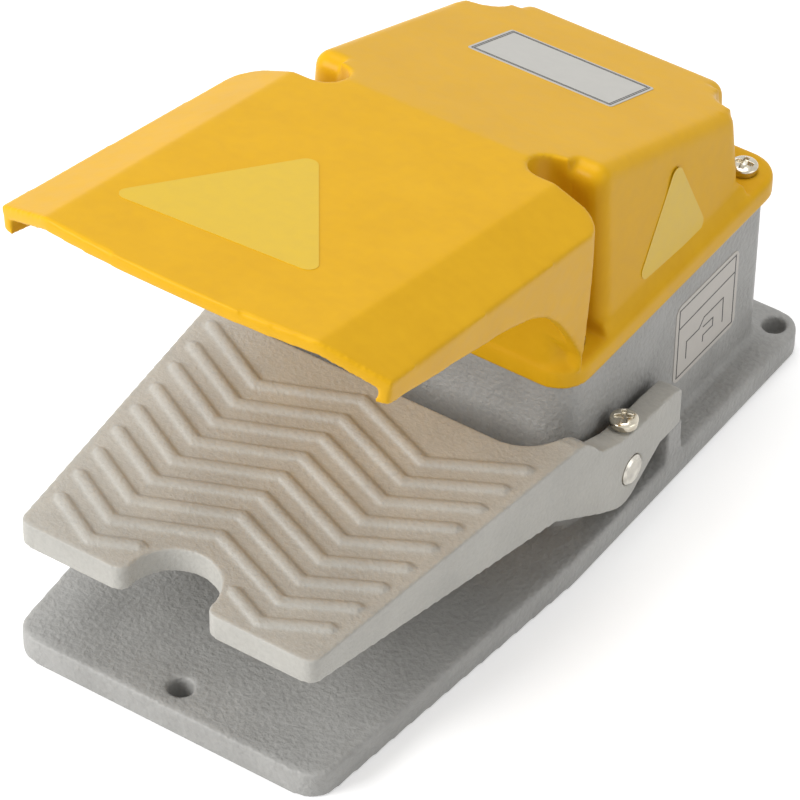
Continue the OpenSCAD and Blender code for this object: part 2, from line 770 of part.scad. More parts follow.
module pedal() {
    color("#bab8b0") difference() {
        union() {
            intersection() {
                union() {
                    translate([0, 0, pedal_top - tread_t]) linear_extrude(tread_t) fork_plan();
                    translate([0, 0, pedal_top - pedal_rim_h]) linear_extrude(pedal_rim_h - 1)
                        rim_plan(4.4);
                    // side walls and ears
                    both_sides() linear_extrude(pedal_top - eps) intersection() {
                        fork_plan();
                        polygon([
                            [pedal_half(pedal_y0) - 4.6, pedal_y0], [BIG / 4, pedal_y0],
                            [BIG / 4, BIG / 2], [ear_x0 - 1, BIG / 2], [ear_x0 - 1, house_y0]
                        ]);
                    }
                    // stiffening ribs under the tread
                    for (x = [-1, 1] * pedal_toe_w * 0.2)
                        translate([x - 1.5, pedal_y0 + 16, pedal_top - 7])
                            cube([3, heel_y - pedal_y0 - 18, 6]);
                }
                side_profile(-BIG / 4, BIG / 4) pedal_side_view();
            }
            for (i = [1:rib_count]) tread_rib(rib_points(i));
            both_sides() tread_rib(half_rib_points());
        }
        both_sides() {
            translate([0, pivot_y, pivot_z]) {
                x_rod(ear_x0 - 5, ear_x1 + 1, shaft_r + seat_gap);
                translate([ear_x1 - 0.6, 0, 0]) rotate([0, 90, 0])
                    cylinder(h = 1, r1 = shaft_r, r2 = shaft_r + 1);
            }
            translate([lock_x, pivot_y, pivot_z]) cylinder(h = 30, r = screw_d / 2 + seat_gap);
        }
    }
}

lock_groove = 0.75;
lock_head_z = ear_top + 1.8;

module pivot_shaft() {
    end_x = ear_x1 + shaft_proud;
    color("#b9bcbf") translate([0, pivot_y, pivot_z]) difference() {
        rotate([0, 90, 0]) rotate_extrude() polygon([
            [0, -end_x], [shaft_r - 0.6, -end_x], [shaft_r, -end_x + 0.6],
            [shaft_r, end_x - 0.6], [shaft_r - 0.6, end_x], [0, end_x]
        ]);
        // flats that the lock screws and the set screw press on
        for (x = [-lock_x, 0, lock_x])
            translate([x - 2.6, -shaft_r, shaft_r - lock_groove]) cube([5.2, shaft_d, 2]);
    }
}

module shaft_lock_screws() {
    color("#b59b54") both_sides() translate([lock_x, pivot_y, lock_head_z])
        rotate([0, 0, 20]) pan_screw(lock_head_z - pivot_z - shaft_r + lock_groove);
}

// ---------- inner lever and switch ----------

module actuating_lever() {
    pad_y = roller_y + 6;
    color("#9ea1a3") difference() {
        union() {
            translate([0, pivot_y, pivot_z]) x_rod(-hub_w / 2, hub_w / 2, hub_r);
            // arm with a raised pad under the roller
            side_profile(-5, 5) polygon([
                [pivot_y, pivot_z - hub_r * 0.7], [roller_y, pivot_z - 1],
                [pad_y, pad_z - 3.5], [pad_y, pad_z], [roller_y - 5, pad_z],
                [pivot_y + hub_r * 0.8, pivot_z + hub_r * 0.5], [pivot_y, pivot_z + hub_r * 0.5]
            ]);
            // wing that carries the return spring
            translate([4, spring_y - 6, spring_z0 - 4])
                cube([spring_x + spring_d / 2 + 1.5 - 4, 12, 4]);
            translate([spring_x, spring_y, spring_z0 - 1])
                cylinder(h = 3, r = spring_d / 2 - spring_wire - 0.4);
        }
        translate([0, pivot_y, pivot_z]) {
            x_rod(-hub_w, hub_w, shaft_r + seat_gap);
            cylinder(h = hub_r + 5, r = 2.5 + seat_gap);
        }
    }
}

module lever_set_screw() {
    base_z = pivot_z + shaft_r - lock_groove;
    color("#3c3d3f") translate([0, pivot_y, base_z]) difference() {
        cylinder(h = 5, r = 2.5);
        translate([0, 0, 2.5]) cylinder(h = 3, r = 1.45, $fn = 6);
    }
}

// Wire of round section wound between two heights
module return_spring() {
    sides = 8;
    per_turn = 14;
    count = spring_turns * per_turn;
    r = spring_d / 2 - spring_wire / 2;
    w = spring_wire / 2;
    rise = spring_z1 - spring_z0 - spring_wire;
    function ease(t) = t < 0.12 ? t * t / 0.24 : t > 0.88 ? 0.88 - (1 - t) * (1 - t) / 0.24 : t - 0.06;
    points = [for (i = [0:count], j = [0:sides - 1])
        let (t = i / count, a = 360 * t * spring_turns, b = 360 * j / sides,
             q = r + w * cos(b))
        [q * cos(a), q * sin(a), w + rise * ease(t) / 0.88 + w * sin(b)]];
    faces = concat(
        [[for (j = [0:sides - 1]) j]],
        [for (i = [0:count - 1], j = [0:sides - 1]) let (k = (j + 1) % sides)
            [i * sides + j, (i + 1) * sides + j, (i + 1) * sides + k, i * sides + k]],
        [[for (j = [sides - 1:-1:0]) count * sides + j]]);
    color("#7d7f80") translate([spring_x, spring_y, spring_z0]) polyhedron(points, faces);
}

module switch_bracket() {
    tab_y0 = spring_y - 7.5;
    color("#c3c6c8") difference() {
        union() {
            // upright plate, with its lower edge raised over the lever's wing
            side_profile(bracket_x0, bracket_x1) polygon([
                [tab_y0, spring_z1], [tab_y0, switch_z0 + 21], [foot_y[1] + 6, switch_z0 + 21],
                [foot_y[1] + 6, foot_z], [foot_y[0] - 6, foot_z], [foot_y[0] - 6, spring_z1 - 4],
                [tab_y0 + 15, spring_z1 - 4], [tab_y0 + 15, spring_z1]
            ]);
            translate([bracket_x0, foot_y[0] - 6, foot_z])
                cube([foot_x1 - bracket_x0, foot_y[1] - foot_y[0] + 12, bracket_t]);
            translate([bracket_x0, tab_y0, spring_z1])
                cube([spring_x + spring_d / 2 + 1.5 - bracket_x0, 15, bracket_t]);
            translate([spring_x, spring_y, spring_z1 - 2])
                cylinder(h = 3, r = spring_d / 2 - spring_wire - 0.4);
        }
        for (y = foot_y) translate([foot_screw_x, y, foot_z - 1])
            cylinder(h = bracket_t + 2, r = screw_d / 2 + 0.2);
        for (s = [-1, 1]) translate([0, switch_mid_y + s * switch_hole_pitch / 2, switch_hole_z])
            x_rod(bracket_x0 - 1, bracket_x1 + 1, 2.1);
    }
}

module bracket_screws() {
    color("#b59b54") for (y = foot_y) translate([foot_screw_x, y, foot_z + bracket_t])
        pan_screw(9);
}

module switch_holes() {
    for (s = [-1, 1]) translate([0, switch_mid_y + s * switch_hole_pitch / 2, switch_hole_z])
        x_rod(case_x0 - 1, case_x1 + 1, 2.1);
}

terminal_y = [switch_y0 + 5.5, switch_mid_y, switch_y1 - 5.5];

module switch_case() {
    color("#26282a") difference() {
        union() {
            translate([case_x0, switch_y0, switch_z0])
                cube([switch_w - lid_t, switch_len, switch_h]);
            // barriers between the terminals
            for (y = [(terminal_y[0] + terminal_y[1]) / 2, (terminal_y[1] + terminal_y[2]) / 2])
                translate([case_x0, y - 1.2, switch_z1 - 1]) cube([switch_w - lid_t, 2.4, 6.5]);
            // cheeks that hold the lever's hinge pin
            for (x = [-5.6, 3.6]) translate([x, hinge_y - 2.2, hinge_z - 2.2])
                cube([2, 4.4, switch_z0 - hinge_z + 3]);
        }
        switch_holes();
        translate([0, plunger_y, switch_z0 - 1]) cylinder(h = 11, r = plunger_d / 2 + run_gap);
        for (y = terminal_y) translate([-1.9, y, switch_z1 - 7])
            cylinder(h = 8, r = screw_d / 2 + seat_gap);
        translate([0, hinge_y, hinge_z]) x_rod(-6, 6, hinge_pin_d / 2 + seat_gap);
    }
}

module switch_lid() {
    color("#303234") difference() {
        translate([case_x1 - lid_t, switch_y0, switch_z0]) cube([lid_t, switch_len, switch_h]);
        switch_holes();
    }
}

module switch_screws() {
    color("#b59b54") for (s = [-1, 1])
        translate([bracket_x1, switch_mid_y + s * switch_hole_pitch / 2, switch_hole_z])
            rotate([0, 90, 0]) pan_screw(switch_w + bracket_t + 4.5);
}

module switch_nuts() {
    color("#b9bcbf") for (s = [-1, 1])
        translate([case_x0, switch_mid_y + s * switch_hole_pitch / 2, switch_hole_z])
            rotate([0, -90, 0]) difference() {
                cylinder(h = 3.2, r = 4.04, $fn = 6);
                translate([0, 0, -1]) cylinder(h = 6, r = screw_d / 2 + seat_gap);
            }
}

module switch_terminals() {
    color("#b08d3e") for (y = terminal_y) translate([-1.9, y, switch_z1]) difference() {
        translate([-4, -4, 0]) cube([8, 8, 1]);
        translate([0, 0, -1]) cylinder(h = 3, r = screw_d / 2 + 0.2);
    }
}

module terminal_screws() {
    color("#b9bcbf") for (y = terminal_y) translate([-1.9, y, switch_z1 + 1]) pan_screw(6);
}

module switch_plunger() {
    color("#8f2a24") translate([0, plunger_y, plunger_tip_z])
        cylinder(h = plunger_len, r = plunger_d / 2);
}

module lever_hinge_pin() {
    color("#c9ccce") translate([0, hinge_y, hinge_z]) x_rod(-6, 6, hinge_pin_d / 2);
}

// Lever with a rolled hinge eye and a forked end for the roller, drawn level, then tilted
module roller_lever() {
    half_w = 2.95;
    eye_r = hinge_pin_d / 2 + 1;
    reach = lever_run / cos(lever_tilt);
    color("#c9ccce") translate([0, hinge_y, hinge_z]) rotate([lever_tilt, 0, 0]) difference() {
        union() {
            translate([-half_w, -reach + 4.2, -0.5]) cube([2 * half_w, reach - 4.2, 1]);
            x_rod(-half_w, half_w, eye_r);
            for (x = [-half_w, half_w - 0.8]) translate([0, -reach, 0]) {
                x_rod(x, x + 0.8, roller_pin_d / 2 + 1);
                translate([x, 0, -1]) cube([0.8, 7, 2]);
            }
        }
        x_rod(-6, 6, hinge_pin_d / 2 + run_gap);
        translate([0, -reach, 0]) x_rod(-6, 6, roller_pin_d / 2 + seat_gap);
    }
}

module roller_pin() {
    color("#9ea1a3") translate([0, roller_y, roller_z]) {
        x_rod(-3.4, 3.4, roller_pin_d / 2);
        both_sides() x_rod(2.95 + seat_gap, 3.5, roller_pin_d / 2 + 0.5);
    }
}

module lever_roller() {
    color("#d9d6c8") translate([0, roller_y, roller_z]) difference() {
        x_rod(-roller_w / 2, roller_w / 2, roller_d / 2);
        x_rod(-roller_w, roller_w, roller_pin_d / 2 + run_gap);
    }
}

// ---------- cable gland ----------

nut_y0 = house_y1 + 5.2;
seal_y1 = nut_y0 + 6;

module gland_body() {
    color("#333536") translate([0, 0, gland_z]) difference() {
        union() {
            y_rod(inner_y1 - 6.5, house_y1 + 1, gland_d / 2);
            translate([0, house_y1, 0]) rotate([-90, 30, 0])
                cylinder(h = 5, r = gland_flange_af / sqrt(3), $fn = 6);
            y_rod(house_y1 + 4, nut_y0 + 7.5, gland_d / 2 - 1.2);
        }
        y_rod(inner_y1 - 8, house_y1 + 3, cable_d / 2);
        y_rod(house_y1 + 2, nut_y0 + 9, gland_d / 2 - 2.6);
    }
}

module gland_seal() {
    color("#1c1c1c") translate([0, 0, gland_z]) difference() {
        y_rod(house_y1 + 2 + eps, nut_y0 + 7.5, gland_d / 2 - 2.6 - seat_gap);
        y_rod(house_y1 - 2, nut_y0 + 12, cable_d / 2);
    }
}

module gland_nut() {
    thread_r = gland_d / 2 - 1.2 + seat_gap;
    color("#333536") translate([0, nut_y0, gland_z]) difference() {
        union() {
            rotate([-90, 30, 0]) cylinder(h = 7, r = (gland_d + 3) / sqrt(3), $fn = 6);
            rotate([-90, 0, 0]) translate([0, 0, 7 - eps]) cylinder(h = 1.6, r = gland_d / 2 + 0.6);
            rotate([-90, 0, 0]) translate([0, 0, 8.6 - 2 * eps])
                cylinder(h = gland_nut_len - 8.6, r1 = gland_d / 2 + 0.6, r2 = gland_d / 2 - 2);
        }
        y_rod(-1, 7.5 + eps, thread_r);
        y_rod(-1, gland_nut_len + 1, cable_d / 2 + 0.5);
    }
}

module gland_locknut() {
    color("#333536") translate([0, inner_y1 - 4.2, gland_z]) difference() {
        rotate([-90, 30, 0]) cylinder(h = 4.2, r = (gland_d + 6) / sqrt(3), $fn = 6);
        y_rod(-1, 6, gland_d / 2 + seat_gap);
    }
}

base_housing();
shaft_bushes();
cover_gasket();
cover();
cover_screws();
earth_screw();
pedal();
pivot_shaft();
shaft_lock_screws();
actuating_lever();
lever_set_screw();
return_spring();
switch_bracket();
bracket_screws();
switch_case();
switch_lid();
switch_screws();
switch_nuts();
switch_terminals();
terminal_screws();
switch_plunger();
lever_hinge_pin();
roller_lever();
roller_pin();
lever_roller();
gland_body();
gland_seal();
gland_nut();
gland_locknut();
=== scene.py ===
import bpy, bmesh, json, math
import numpy as np
from mathutils import Matrix, Vector
from mathutils.bvhtree import BVHTree


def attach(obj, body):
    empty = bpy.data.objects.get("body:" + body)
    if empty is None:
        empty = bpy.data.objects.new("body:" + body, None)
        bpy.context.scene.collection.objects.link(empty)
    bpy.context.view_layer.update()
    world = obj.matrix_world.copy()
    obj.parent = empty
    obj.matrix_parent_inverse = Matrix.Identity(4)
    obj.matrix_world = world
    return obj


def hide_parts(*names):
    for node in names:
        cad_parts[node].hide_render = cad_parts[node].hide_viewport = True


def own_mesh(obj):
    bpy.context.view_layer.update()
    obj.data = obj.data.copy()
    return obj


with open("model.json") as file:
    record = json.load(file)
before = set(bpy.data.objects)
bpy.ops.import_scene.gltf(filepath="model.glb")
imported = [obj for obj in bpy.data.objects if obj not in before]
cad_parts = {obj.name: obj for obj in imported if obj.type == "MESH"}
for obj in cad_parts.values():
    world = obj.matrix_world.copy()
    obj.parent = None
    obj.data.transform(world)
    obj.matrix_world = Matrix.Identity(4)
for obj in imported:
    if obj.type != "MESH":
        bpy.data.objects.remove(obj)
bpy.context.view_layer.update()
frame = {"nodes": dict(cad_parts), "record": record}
nodes = frame["nodes"]
print("foot switch: frame loaded,", len(nodes), "parts")

mm = 0.001


def linear(hexColour):  # sRGB hex to linear RGBA
    c = np.array([int(hexColour[i:i + 2], 16) / 255 for i in (1, 3, 5)])
    c = np.where(c <= 0.04045, c / 12.92, ((c + 0.055) / 1.055) ** 2.4)
    return (*[float(v) for v in c], 1.0)


def addNode(mat, kind, settings=None, inputs=None):  # a node with its settings, values and links
    n = mat.node_tree.nodes.new(kind)
    for k, v in (settings or {}).items():
        setattr(n, k, v)
    for k, v in (inputs or {}).items():
        if isinstance(v, bpy.types.NodeSocket):
            mat.node_tree.links.new(v, n.inputs[k])
        else:
            n.inputs[k].default_value = v
    return n


def newMaterial(name, colour, metallic, roughness, **fixed):
    mat = bpy.data.materials.new(name)
    mat.use_nodes = True
    mat.node_tree.nodes.clear()
    skin = addNode(mat, "ShaderNodeBsdfPrincipled", inputs={"Base Color": linear(colour), "Metallic": metallic, "Roughness": roughness, **fixed})
    out = addNode(mat, "ShaderNodeOutputMaterial", inputs={"Surface": skin.outputs[0]})
    return mat, skin, addNode(mat, "ShaderNodeTexCoord").outputs["Object"]


def grainNoise(mat, place, sizeMm, detail=2.0, distortion=0.0, rough=0.5):  # noise whose features are sizeMm across
    return addNode(mat, "ShaderNodeTexNoise", inputs={"Vector": place, "Scale": 1 / (sizeMm * mm), "Detail": detail, "Distortion": distortion, "Roughness": rough}).outputs[0]


def mapped(mat, value, a, b, lo, hi):
    return addNode(mat, "ShaderNodeMapRange", inputs={"Value": value, "From Min": a, "From Max": b, "To Min": lo, "To Max": hi}).outputs[0]


def tint(mat, factor, dark, light):
    r = addNode(mat, "ShaderNodeValToRGB", inputs={"Fac": factor})
    r.color_ramp.elements[0].color, r.color_ramp.elements[1].color = linear(dark), linear(light)
    return r.outputs[0]


# ---------- coats and metals ----------

coats = {
    "grey": {"dark": "#93928F", "light": "#ACABA8", "rough": (0.36, 0.5), "wrinkleMm": 1.3, "height": 0.36, "sheen": 0.3},
    "pedal": {"dark": "#A6A49E", "light": "#BAB8B1", "rough": (0.36, 0.5), "wrinkleMm": 1.0, "height": 0.19, "sheen": 0.3},
    "yellow": {"dark": "#D29F15", "light": "#DBA81A", "rough": (0.32, 0.4), "wrinkleMm": 3.2, "height": 0.02, "sheen": 0.12},
}


def powderCoat(name, key):  # wrinkle powder coat on a die casting: small hills and valleys under a satin shine
    c = coats[key]
    mat, skin, place = newMaterial(name, c["light"], 0.0, 0.4, **{"Specular IOR Level": c["sheen"]})
    cloud = grainNoise(mat, place, 16, 3)
    wrinkle = grainNoise(mat, place, c["wrinkleMm"], 2.0, 0.15, 0.45)
    grit = grainNoise(mat, place, c["wrinkleMm"] * 0.3, 2, 0.0, 0.5)
    height = addNode(mat, "ShaderNodeMath", {"operation": "MULTIPLY_ADD"}, {0: grit, 1: 0.18, 2: wrinkle}).outputs[0]
    bump = addNode(mat, "ShaderNodeBump", inputs={"Height": height, "Distance": c["height"] * mm, "Strength": 1.0})
    mat.node_tree.links.new(bump.outputs[0], skin.inputs["Normal"])
    shade = addNode(mat, "ShaderNodeMath", {"operation": "MULTIPLY_ADD"}, {0: wrinkle, 1: 0.5, 2: mapped(mat, cloud, 0.3, 0.7, 0.1, 0.4)}).outputs[0]
    mat.node_tree.links.new(tint(mat, mapped(mat, shade, 0.2, 0.8, 0, 1), c["dark"], c["light"]), skin.inputs["Base Color"])
    mat.node_tree.links.new(mapped(mat, wrinkle, 0.3, 0.7, *c["rough"]), skin.inputs["Roughness"])
    return mat


def turnedMetal(name, dark, light, rough, grainMm=0.25):  # machined or plated steel: faint tool marks and uneven shine
    mat, skin, place = newMaterial(name, light, 1.0, rough)
    mark = grainNoise(mat, place, grainMm, 4, 0.2)
    cloud = grainNoise(mat, place, 3.5, 2)
    mat.node_tree.links.new(tint(mat, mapped(mat, cloud, 0.35, 0.65, 0, 1), dark, light), skin.inputs["Base Color"])
    mat.node_tree.links.new(mapped(mat, mark, 0.3, 0.7, rough * 0.8, rough * 1.3), skin.inputs["Roughness"])
    bump = addNode(mat, "ShaderNodeBump", inputs={"Height": mark, "Distance": 0.01 * mm, "Strength": 0.25})
    mat.node_tree.links.new(bump.outputs[0], skin.inputs["Normal"])
    return mat


def mouldedPart(name, dark, light, rough, grainMm=0.35, height=0.015):  # moulded plastic or rubber: fine spark-eroded grain
    mat, skin, place = newMaterial(name, light, 0.0, rough)
    grain = grainNoise(mat, place, grainMm, 3)
    mat.node_tree.links.new(tint(mat, mapped(mat, grain, 0.35, 0.65, 0, 1), dark, light), skin.inputs["Base Color"])
    mat.node_tree.links.new(mapped(mat, grain, 0.3, 0.7, rough * 0.85, rough * 1.15), skin.inputs["Roughness"])
    if height:
        bump = addNode(mat, "ShaderNodeBump", inputs={"Height": grain, "Distance": height * mm, "Strength": 0.4})
        mat.node_tree.links.new(bump.outputs[0], skin.inputs["Normal"])
    return mat


finishes = {
    "casting_grey": powderCoat("wrinkledGreyPowderCoat", "grey"),
    "pedal_grey": powderCoat("wrinkledWarmGreyPowderCoat", "pedal"),
    "casting_yellow": powderCoat("smoothYellowPowderCoat", "yellow"),
    "gasket_rubber": mouldedPart("mouldedNitrileRubber", "#1B1B1B", "#272727", 0.62, 0.5),
    "shaft_steel": turnedMetal("groundShaftSteel", "#B9B5AC", "#D8D4CA", 0.3),
    "bush_bronze": turnedMetal("sinteredBronze", "#9A7440", "#B98F54", 0.42),
    "plated_steel": turnedMetal("paleNickelPlatedSteel", "#B9B2A2", "#DAD3C2", 0.2),
    "lever_steel": turnedMetal("machinedLeverSteel", "#8D8F91", "#A9ABAD", 0.38),
    "black_steel": turnedMetal("blackOxideSteel", "#26272A", "#34363A", 0.45),
    "spring_steel": turnedMetal("drawnSpringWire", "#8A8C8E", "#A6A8AA", 0.3),
    "zinc_steel": turnedMetal("clearPassivatedZincSteel", "#AEB2B6", "#C9CDD1", 0.3),
    "switch_plastic": mouldedPart("mouldedPhenolicSwitchCase", "#1D1E20", "#2A2B2E", 0.5),
    "plunger_plastic": mouldedPart("mouldedRedAcetal", "#7E2019", "#962A21", 0.35),
    "roller_plastic": mouldedPart("mouldedNaturalAcetal", "#CFCBBD", "#DEDACC", 0.38),
    "terminal_brass": turnedMetal("stampedBrass", "#B58F45", "#CFA95A", 0.3),
    "gland_plastic": mouldedPart("mouldedBlackPolyamide", "#202123", "#2C2D2F", 0.42, 0.45, 0.02),
}
slots = {s["node"]: s["material_slot"] for s in frame["record"]["subparts"]}
for name, node in nodes.items():
    node.data.materials.clear()
    node.data.materials.append(finishes[slots[name]])
print("foot switch: finishes made")


# ---------- castings ----------

def mergedCopy(node):  # closed mesh from a part's loose triangles
    b = bmesh.new()
    b.from_mesh(nodes[node].data)
    bmesh.ops.remove_doubles(b, verts=b.verts, dist=0.002 * mm)
    mesh = bpy.data.meshes.new(node + "_merged")
    b.to_mesh(mesh)
    b.free()
    return mesh


def bakeModifiers(obj):  # the evaluated mesh takes the place of the plain one
    shown = obj.evaluated_get(bpy.context.evaluated_depsgraph_get())
    mesh = bpy.data.meshes.new_from_object(shown)
    obj.modifiers.clear()
    obj.data = mesh
    mesh.shade_smooth()
    return obj


def place(obj, node, body):  # stands in for the part, in its own finish
    obj.data.materials.clear()
    obj.data.materials.append(finishes[slots[node]])
    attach(obj, body)
    return obj


castings = {
    "cover": {"name": "cover_casting", "body": "base", "voxelMm": 0.55, "rounds": 11, "triangles": 190000},
    "base_housing": {"name": "base_casting", "body": "base", "voxelMm": 0.6, "rounds": 11, "triangles": 190000},
    "pedal": {"name": "pedal_casting", "body": "pedal_group", "voxelMm": 0.4, "rounds": 5, "triangles": 190000},
}


def softCasting(node, c):  # cast look: the solid on a fine voxel grid, its edges eased by averaging, then thinned
    obj = bpy.data.objects.new(c["name"], mergedCopy(node))
    bpy.context.scene.collection.objects.link(obj)
    grid = obj.modifiers.new("grid", "REMESH")
    grid.mode, grid.voxel_size, grid.use_smooth_shade = "VOXEL", c["voxelMm"] * mm, True
    ease = obj.modifiers.new("ease", "SMOOTH")
    ease.factor, ease.iterations = 0.5, c["rounds"]
    bpy.context.view_layer.update()
    bakeModifiers(obj)
    count = sum(len(p.vertices) - 2 for p in obj.data.polygons)
    if count > c["triangles"]:
        thin = obj.modifiers.new("thin", "DECIMATE")
        thin.ratio = c["triangles"] / count
        bakeModifiers(obj)
    place(obj, node, c["body"])
    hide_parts(node)
    print("foot switch:", c["name"], len(obj.data.polygons), "faces")
    return obj


cast = {node: softCasting(node, c) for node, c in castings.items()}

coil = bpy.data.objects.new("return_spring_coil", mergedCopy("return_spring"))
bpy.context.scene.collection.objects.link(coil)
coil.data.shade_smooth()
place(coil, "return_spring", "base")
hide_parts("return_spring")
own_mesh(coil)  # the coil gets a mesh of its own


# ---------- screws ----------

def gridMesh(name, rows, closedU=True):  # quads between neighbouring rows of points
    rows = np.asarray(rows)
    n, m = rows.shape[:2]
    i, j = np.meshgrid(np.arange(n - 1), np.arange(m if closedU else m - 1), indexing="ij")
    k = (j + 1) % m
    quads = np.stack([i * m + j, i * m + k, (i + 1) * m + k, (i + 1) * m + j], -1).reshape(-1, 4)
    mesh = bpy.data.meshes.new(name)
    mesh.from_pydata(rows.reshape(-1, 3).tolist(), [], quads.tolist())
    return mesh


def joinedObject(name, meshes, smooth=True):
    b = bmesh.new()
    for m in meshes:
        b.from_mesh(m)
    bmesh.ops.remove_doubles(b, verts=b.verts, dist=0.0005 * mm)
    bmesh.ops.recalc_face_normals(b, faces=b.faces)
    mesh = bpy.data.meshes.new(name)
    b.to_mesh(mesh)
    b.free()
    if smooth:
        mesh.shade_smooth()
    obj = bpy.data.objects.new(name, mesh)
    bpy.context.scene.collection.objects.link(obj)
    return obj


screw = {"headR": 3.55, "headH": 2.55, "armL": 2.3, "armW": 0.7, "deep": 1.25, "shankR": 1.98, "pitch": 0.7, "threadDeep": 0.38}


def panHead(seat, turn):
    # height over the disc: a flat dome that rounds off at the rim, less a cross whose arms taper towards their ends
    s = screw
    r = np.concatenate([[0.0], np.linspace(0.12, 0.94, 44), 1 - 0.06 * (1 - np.sin(np.linspace(0.15, 1, 7) * np.pi / 2))]) * s["headR"]
    a = np.linspace(0, 2 * np.pi, 128, endpoint=False)
    R, A = np.meshgrid(r, a, indexing="ij")
    q = R / s["headR"]
    dome = s["headH"] * (0.62 + 0.38 * np.sqrt(np.clip(1 - q ** 2.6, 0, 1)))
    u, v = R * np.cos(A), R * np.sin(A)
    def arm(p, w):  # 1 inside an arm, easing to 0 over a narrow wall
        across = np.clip((s["armW"] * (1 - 0.16 * np.abs(p) / s["armL"]) - np.abs(w)) / 0.16 + 0.5, 0, 1)
        along = np.clip((s["armL"] - np.abs(p)) / 0.35 + 0.5, 0, 1)
        return across * along
    cross = np.maximum(arm(u, v), arm(v, u))
    cross = cross * cross * (3 - 2 * cross)
    Z = dome - s["deep"] * cross * (1 - 0.35 * (R / s["armL"]).clip(0, 1))
    top = np.stack([u, v, Z], -1)
    side = np.stack([np.stack([s["headR"] * k * np.cos(a), s["headR"] * k * np.sin(a), np.full_like(a, z)], -1) for k, z in ((1.0, 1.2), (1.0, 0.25), (0.965, 0.0), (0.3, 0.0))])
    rows = np.concatenate([top, side]) * mm
    c, sn = math.cos(turn), math.sin(turn)
    rows = rows @ np.array([[c, sn, 0], [-sn, c, 0], [0, 0, 1]]) + np.array(seat)
    return gridMesh("head", rows)


def threadedShank(seat, length):
    # radius along the shank follows a ridge that climbs one pitch per turn
    s = screw
    a = np.linspace(0, 2 * np.pi, 40, endpoint=False)
    z = np.arange(0, length, s["pitch"] / 8)
    Z, A = np.meshgrid(z, a, indexing="ij")
    wave = np.abs(((Z / s["pitch"] + A / (2 * np.pi)) % 1) * 2 - 1)
    R = s["shankR"] - s["threadDeep"] * wave * np.clip(Z / 0.5, 0, 1)
    rows = np.stack([R * np.cos(A), R * np.sin(A), -Z], -1)
    tip = np.stack([0.02 * np.cos(a), 0.02 * np.sin(a), np.full_like(a, -z[-1])], -1)[None]
    neck = np.stack([0.3 * s["headR"] * np.cos(a), 0.3 * s["headR"] * np.sin(a), np.full_like(a, 0.02)], -1)[None]
    return gridMesh("shank", np.concatenate([neck, rows, tip]) * mm + np.array(seat))


def solidCentres(node):  # one (x, y) centre and height range for each separate solid of a part
    mesh = mergedCopy(node)
    b = bmesh.new()
    b.from_mesh(mesh)
    left, found = set(b.verts), []
    while left:
        stack, part = [left.pop()], []
        while stack:
            v = stack.pop()
            part.append(v.co.copy())
            for e in v.link_edges:
                w = e.other_vert(v)
                if w in left:
                    left.discard(w)
                    stack.append(w)
        p = np.array(part)
        found.append((p.min(0), p.max(0)))
    b.free()
    return sorted(found, key=lambda f: (f[0][0], f[0][1]))


def screwSet(node, name, body, turns):
    meshes = []
    for (lo, hi), turn in zip(solidCentres(node), turns):
        x, y = (lo[:2] + hi[:2]) / 2
        seat = (x, y, hi[2] - 2.6 * mm)
        meshes += [panHead(seat, math.radians(turn)), threadedShank(seat, (hi[2] - lo[2]) / mm - 2.7)]
    obj = place(joinedObject(name, meshes), node, body)
    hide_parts(node)
    return obj


screwSet("cover_screws", "cover_screw_set", "base", (20, 65, 40, 10))
screwSet("shaft_lock_screws", "lock_screw_set", "pedal_group", (50, 32))
print("foot switch: screws made")


# ---------- films and plates ----------

surfaces = {k: BVHTree.FromObject(o, bpy.context.evaluated_depsgraph_get()) for k, o in cast.items()}

labels = {
    "hood": {"on": "cover", "axes": (0, 1), "along": (0, 0, -1), "radius": 2.5, "lift": 0.12,
             "corners": [(-33.5, -73), (21, -69), (-9, -26)]},
    "side": {"on": "cover", "axes": (1, 2), "along": (-1, 0, 0), "radius": 2.5, "lift": 0.2,
             "corners": [(30.6, 63.4), (62.4, 61.2), (49.4, 89.0)]},
    "plate": {"on": "cover", "axes": (0, 1), "along": (0, 0, -1), "radius": 0.8, "lift": 0.14,
              "corners": [(-20.3, 52.7), (20.8, 52.7), (20.8, 73), (-20.3, 73)]},
    "contacts": {"on": "base_housing", "axes": (1, 2), "along": (-1, 0, 0), "radius": 2.5, "lift": 0.14,
                 "corners": [(49.9, 18.4), (79.2, 18.4), (79.2, 43.0), (49.9, 43.0)]},
}


def spread(flat, label):  # (n, 2) plan points in mm as (n, 3) points in metres outside the part
    at = np.zeros((len(flat), 3))
    at[:, label["axes"][0]], at[:, label["axes"][1]] = np.transpose(flat) * mm
    return at - np.array(label["along"]) * 0.15


def restingPlane(label):  # point and normal of the casting's flat under the middle of a label
    ring = np.array(label["corners"], float)
    middle = spread(np.concatenate([ring.mean(0) + (ring - ring.mean(0)) * k for k in (0.15, 0.3, 0.45)]), label)
    tree, d = surfaces[label["on"]], Vector(label["along"])
    found = np.array([tree.ray_cast(Vector(p), d)[0][:] for p in middle])
    normal = np.linalg.svd(found - found.mean(0))[2][2]
    return found.mean(0), normal * -np.sign(normal @ np.array(label["along"]))


def laidOn(flat, label, lift):  # plan points slid onto the label's plane, then raised
    centre, normal = label["plane"]
    at, d = spread(flat, label), np.array(label["along"], float)
    return at + np.outer((centre - at) @ normal / (d @ normal), d) + normal * lift * mm


for label in labels.values():
    label["plane"] = restingPlane(label)


